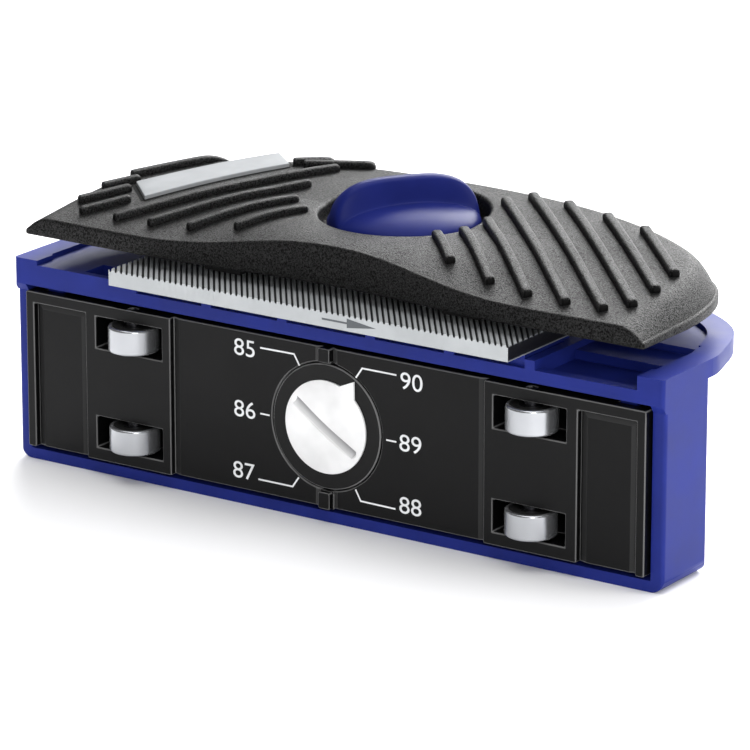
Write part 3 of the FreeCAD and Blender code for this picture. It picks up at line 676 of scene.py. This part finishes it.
def build_badge_shade(materials):
    """A dark band on the palm cover round the badge: painted shade for the gap that the badge sits in."""
    rings = [badge_ring(grow, lift) for grow, lift in SHADE_BAND_SECTION]
    gap = mesh_object("badge_shade_band", *loft(rings, wrap=True), materials["rib_end"], smooth=False)
    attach(gap, "handle_body")


def build_palm(materials):
    beads, ends = zip(*[rib_mesh(start, end) for start, end in rib_runs()])
    palm = mesh_object("palm_cover", *loft(palm_rings(), wrap=True), materials["black_palm"])
    ribs = mesh_object("palm_ribs", *gather(beads), materials["black_palm"])
    # Dark discs on the rib ends: painted shade
    rib_end_shade = mesh_object("palm_rib_end_shade", *gather(ends), materials["rib_end"])
    for obj in (palm, ribs, rib_end_shade):
        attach(obj, "handle_body")
    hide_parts("handle")


# ---------- wing knob ----------
def knob_height(along, across):
    """A high blade along one diameter, with a domed scoop for the fingers on each side."""
    r = np.hypot(along, across)
    scoop = KNOB_RIM + SCOOP_RISE * np.sqrt(np.clip(1 - (r / KNOB_R) ** 2, 0, 1))
    reach = np.sqrt(np.clip(KNOB_R ** 2 - across ** 2, 0.01, None))
    share = np.clip(np.abs(along) / reach, 0, 1)
    ridge = KNOB_RIM + (WING_TOP - KNOB_RIM) * np.clip(1 - share ** 3.2, 0, 1) ** 0.40
    wall = np.clip((np.abs(across) - WING_FLAT) / WING_FALL, 0, 1)
    crown = 0.9 * np.clip(np.abs(across) / WING_FALL, 0, 1) ** 2.5
    blade = ridge - crown * (ridge - KNOB_RIM) / 10
    blend = wall * wall * (3 - 2 * wall)
    return np.maximum(scoop, blade + (scoop - blade) * blend)


def build_knob(materials):
    turn = full_turn(KNOB_POINTS)
    angle = math.radians(WING_ANGLE)
    rings = []
    for radius, z in KNOB_BASE:
        x, y = radius * np.cos(turn), radius * np.sin(turn)
        rings.append(np.stack([x, KNOB_Y + y, np.full(len(turn), z)], 1) * MM)
    for a in np.radians(np.linspace(0, 90, 120)):
        radius = max(0.01, KNOB_R * math.cos(a))
        x, y = radius * np.cos(turn), radius * np.sin(turn)
        along = x * math.cos(angle) + y * math.sin(angle)
        across = y * math.cos(angle) - x * math.sin(angle)
        rings.append(np.stack([x, KNOB_Y + y, knob_height(along, across)], 1) * MM)
    knob = mesh_object("wing_knob", *loft(rings), materials["knob_blue"])
    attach(knob, "knob")
    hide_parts("clamp_knob")


# ---------- marks ----------
def text_mark(word, x, z, material):
    curve = bpy.data.curves.new("mark_" + word, "FONT")
    curve.body = word
    curve.size = TEXT_SIZE * MM
    curve.extrude = 0.01 * MM
    curve.align_x = "CENTER"
    curve.align_y = "CENTER"
    obj = bpy.data.objects.new("mark_" + word, curve)
    bpy.context.scene.collection.objects.link(obj)
    obj.location = (x * MM, (PLATE_FACE - MARK_PROUD / 2) * MM, z * MM)
    obj.rotation_euler = (math.radians(90), 0, 0)
    obj.scale = (TEXT_STRETCH, 1.0, 1.0)
    curve.materials.append(material)
    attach(obj, "plate")


def flat_mark(name, outline, y, material, body):
    """A thin printed shape in the X-Z plane, standing a little proud of y."""
    count = len(outline)
    verts = []
    for depth in (y - MARK_PROUD, y + MARK_SUNK):
        verts += [(x * MM, depth * MM, z * MM) for x, z in outline]
    faces = [tuple(range(count)), tuple(range(count, 2 * count))[::-1]]
    for i in range(count):
        k = (i + 1) % count
        faces.append((i + count, k + count, k, i))
    obj = mesh_object(name, verts, faces, material, smooth=False)
    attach(obj, body)


def leader_outline(points):
    """The outline of a bent line of even width."""
    points = [np.array(p, float) for p in points]
    left, right = [], []
    for i, point in enumerate(points):
        before = point - points[i - 1] if i > 0 else points[1] - point
        after = points[i + 1] - point if i < len(points) - 1 else before
        before = before / np.linalg.norm(before)
        after = after / np.linalg.norm(after)
        along = (before + after) / np.linalg.norm(before + after)
        side = np.array([-along[1], along[0]])
        reach = LEADER_WIDTH / 2 / max(0.5, float(along @ before))
        left.append(point + side * reach)
        right.append(point - side * reach)
    return [tuple(p) for p in right + left[::-1]]


def arrow_outline(z):
    """An arrow along +X, centred on z."""
    lower = [
        (ARROW_TAIL, -ARROW_SHAFT_HALF), (ARROW_NECK, -ARROW_SHAFT_HALF), (ARROW_NECK, -ARROW_HEAD_HALF),
    ]
    upper = [(x, -dz) for x, dz in lower[::-1]]
    return [(x, z + dz) for x, dz in lower + [(ARROW_TIP, 0)] + upper]


def build_marks(materials):
    for word, x, z in NUMBERS:
        text_mark(word, x, z, materials["mark_white"])
    for i, points in enumerate(LEADERS):
        flat_mark("leader_%d" % i, leader_outline(points), PLATE_FACE, materials["mark_white"], "plate")
    arrow = arrow_outline((FILE_LOW + FILE_HIGH) / 2)
    flat_mark("file_arrow", arrow, FILE_FRONT, materials["mark_grey"], "file_body")


# ---------- studio ----------
def area_light(name, place, target, width, height, power):
    light = bpy.data.lights.new(name, "AREA")
    light.shape = "RECTANGLE"
    light.size = width
    light.size_y = height
    light.energy = power
    obj = bpy.data.objects.new(name, light)
    bpy.context.scene.collection.objects.link(obj)
    obj.location = place
    direction = Vector(target) - Vector(place)
    obj.rotation_euler = direction.to_track_quat("-Z", "Y").to_euler()


def build_floor():
    shader = Shader("floor", (0.90, 0.90, 0.91), 0.65)
    shader.drive("Roughness", shader.spread(shader.noise(6.0), 0.60, 0.70))
    corners = [(x * FLOOR_HALF, y * FLOOR_HALF, 0) for x, y in ((-1, -1), (1, -1), (1, 1), (-1, 1))]
    floor = mesh_object("floor", corners, [(0, 1, 2, 3)], shader.material, smooth=False)


def build_studio():
    build_floor()
    world = bpy.data.worlds.new("studio")
    bpy.context.scene.world = world
    world.use_nodes = True
    background = world.node_tree.nodes["Background"]
    background.inputs["Color"].default_value = (1.0, 1.0, 1.0, 1)
    background.inputs["Strength"].default_value = WORLD_STRENGTH
    for light in LIGHTS:
        area_light(*light)
    bpy.context.scene.view_settings.view_transform = "Standard"


def build_camera():
    data = bpy.data.cameras.new("camera")
    data.sensor_width = SENSOR_WIDTH
    data.lens = SENSOR_WIDTH * FOCAL_PER_WIDTH
    data.clip_start = 0.05
    data.clip_end = 20.0
    camera = bpy.data.objects.new("camera", data)
    bpy.context.scene.collection.objects.link(camera)
    camera.location = (CAMERA_X, CAMERA_FROM_FRONT + FRONT * MM, CAMERA_Z)
    camera.rotation_euler = (math.radians(90 - CAMERA_PITCH), 0, math.radians(CAMERA_TURN))
    bpy.context.scene.camera = camera


materials = make_materials()
paint_nodes(materials)
for node, width in SOFT_EDGES:
    bevel_node(node, width)
bevel_node("angle_plate", PLATE_BEVEL, clamp=False)
build_palm(materials)
build_badge_shade(materials)
build_knob(materials)
build_marks(materials)
build_studio()
build_camera()
